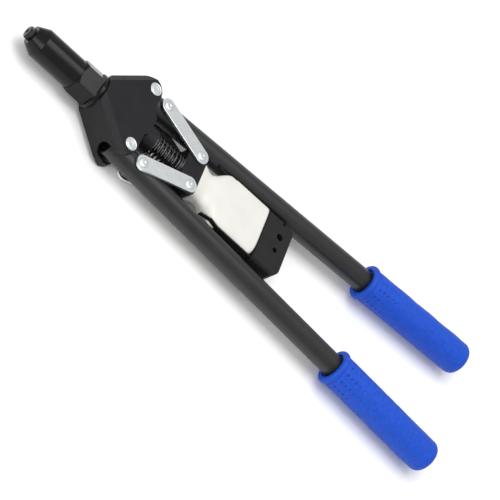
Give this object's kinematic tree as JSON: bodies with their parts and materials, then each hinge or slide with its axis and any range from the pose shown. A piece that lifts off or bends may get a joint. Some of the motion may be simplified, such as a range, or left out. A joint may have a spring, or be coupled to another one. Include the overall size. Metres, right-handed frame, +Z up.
{
  "type": "hand riveter",
  "caption": "Long-arm hand riveter with two gripped levers, toggle links, a sprung crosshead and jaws, and a collecting bottle.",
  "frame": {"origin": "middle of the tool's length and width, at the table it lies on", "axes": "+X along the nose axis towards the nosepiece, +Y towards the left lever, +Z up off the table"},
  "size_m": [0.5318, 0.1474, 0.0394],
  "materials": {
    "painted_casting": "black satin paint on a casting",
    "painted_tube": "black satin paint",
    "black_oxide": "black oxide",
    "zinc_plate": "bright zinc plate",
    "plain_steel": "plain machined steel",
    "bronze": "oiled bronze",
    "spring_steel": "black spring steel",
    "black_plastic": "moulded black plastic",
    "white_plastic": "blow moulded white plastic",
    "blue_rubber": "moulded blue rubber",
    "black_rubber": "black rubber"
  },
  "bodies": {
    "frame": {"head_body": "painted_casting", "barrel": "black_oxide", "barrel_lock_ring": "black_oxide", "nosepiece": "black_oxide", "guide_bush": "bronze", "front_spring_washer": "plain_steel", "return_spring": "spring_steel", "pivot_pin_left": "zinc_plate", "pivot_pin_right": "zinc_plate", "circlip_left": "plain_steel", "circlip_right": "plain_steel"},
    "pull_assembly": {"crosshead": "painted_casting", "rear_spring_washer": "plain_steel", "pull_rod": "plain_steel", "rod_lock_nut": "plain_steel", "jaw_coupler": "plain_steel", "jaw_case": "black_oxide", "jaw_spring": "spring_steel"},
    "pusher": {"jaw_pusher": "plain_steel"},
    "jaw_a": {"jaw_1": "plain_steel"},
    "jaw_b": {"jaw_2": "plain_steel"},
    "jaw_c": {"jaw_3": "plain_steel"},
    "lever_left": {"lever_tube_left": "painted_tube", "pivot_bush_left": "black_plastic", "grip_left": "blue_rubber", "tube_plug_left": "black_plastic"},
    "lever_right": {"lever_tube_right": "painted_tube", "pivot_bush_right": "black_plastic", "grip_right": "blue_rubber", "tube_plug_right": "black_plastic"},
    "link_left": {"link_front_left": "zinc_plate", "link_back_left": "zinc_plate", "lever_link_pin_left": "zinc_plate", "crosshead_pin_left": "zinc_plate"},
    "link_right": {"link_front_right": "zinc_plate", "link_back_right": "zinc_plate", "lever_link_pin_right": "zinc_plate", "crosshead_pin_right": "zinc_plate"},
    "bottle_body": {"bottle": "white_plastic", "bottle_seal": "black_rubber", "gauge_block": "black_plastic"}
  },
  "joints": [
    {"name": "lever_left_swing", "type": "hinge", "parent": "frame", "child": "lever_left", "pos_m": [0.1449, 0.0325, 0.0198], "axis": [0, 0, -1], "range_deg": [0, 48]},
    {"name": "lever_right_swing", "type": "hinge", "parent": "frame", "child": "lever_right", "pos_m": [0.1449, -0.0325, 0.0198], "axis": [0, 0, 1], "range_deg": [0, 48]},
    {"name": "link_left_swing", "type": "hinge", "parent": "lever_left", "child": "link_left", "pos_m": [0.12394, 0.0338, 0.0198], "axis": [0, 0, 1], "range_deg": [0, 68]},
    {"name": "link_right_swing", "type": "hinge", "parent": "lever_right", "child": "link_right", "pos_m": [0.12394, -0.0338, 0.0198], "axis": [0, 0, -1], "range_deg": [0, 68]},
    {"name": "crosshead_slide", "type": "slide", "parent": "frame", "child": "pull_assembly", "axis": [1, 0, 0], "range_m": [0, 0.015], "stiffness_N_per_m": 3000, "springref_m": -0.01, "deforming": ["return_spring"]},
    {"name": "jaw_pusher_slide", "type": "slide", "parent": "pull_assembly", "child": "pusher", "axis": [-1, 0, 0], "range_m": [0, 0.003], "stiffness_N_per_m": 300, "springref_m": -0.004, "deforming": ["jaw_spring"]},
    {"name": "jaw_a_slide", "type": "slide", "parent": "pull_assembly", "child": "jaw_a", "axis": [-0.9848, 0, -0.1736], "range_m": [0, 0.0031]},
    {"name": "jaw_b_slide", "type": "slide", "parent": "pull_assembly", "child": "jaw_b", "axis": [-0.9848, 0.1504, 0.0868], "range_m": [0, 0.0031]},
    {"name": "jaw_c_slide", "type": "slide", "parent": "pull_assembly", "child": "jaw_c", "axis": [-0.9848, -0.1504, 0.0868], "range_m": [0, 0.0031]},
    {"name": "bottle_pull", "type": "slide", "parent": "pull_assembly", "child": "bottle_body", "axis": [-1, 0, 0], "range_m": [0, 0.03]}
  ],
  "couplings": [
    {"joint": "lever_right_swing", "follows": "lever_left_swing", "ratio": 1},
    {"joint": "link_left_swing", "follows": "lever_left_swing", "ratio": 1.407},
    {"joint": "link_right_swing", "follows": "lever_left_swing", "ratio": 1.407},
    {"joint": "crosshead_slide", "follows": "lever_left_swing", "m_per_rad": 0.0177},
    {"joint": "jaw_a_slide", "follows": "jaw_pusher_slide", "ratio": 1.0154},
    {"joint": "jaw_b_slide", "follows": "jaw_pusher_slide", "ratio": 1.0154},
    {"joint": "jaw_c_slide", "follows": "jaw_pusher_slide", "ratio": 1.0154}
  ]
}
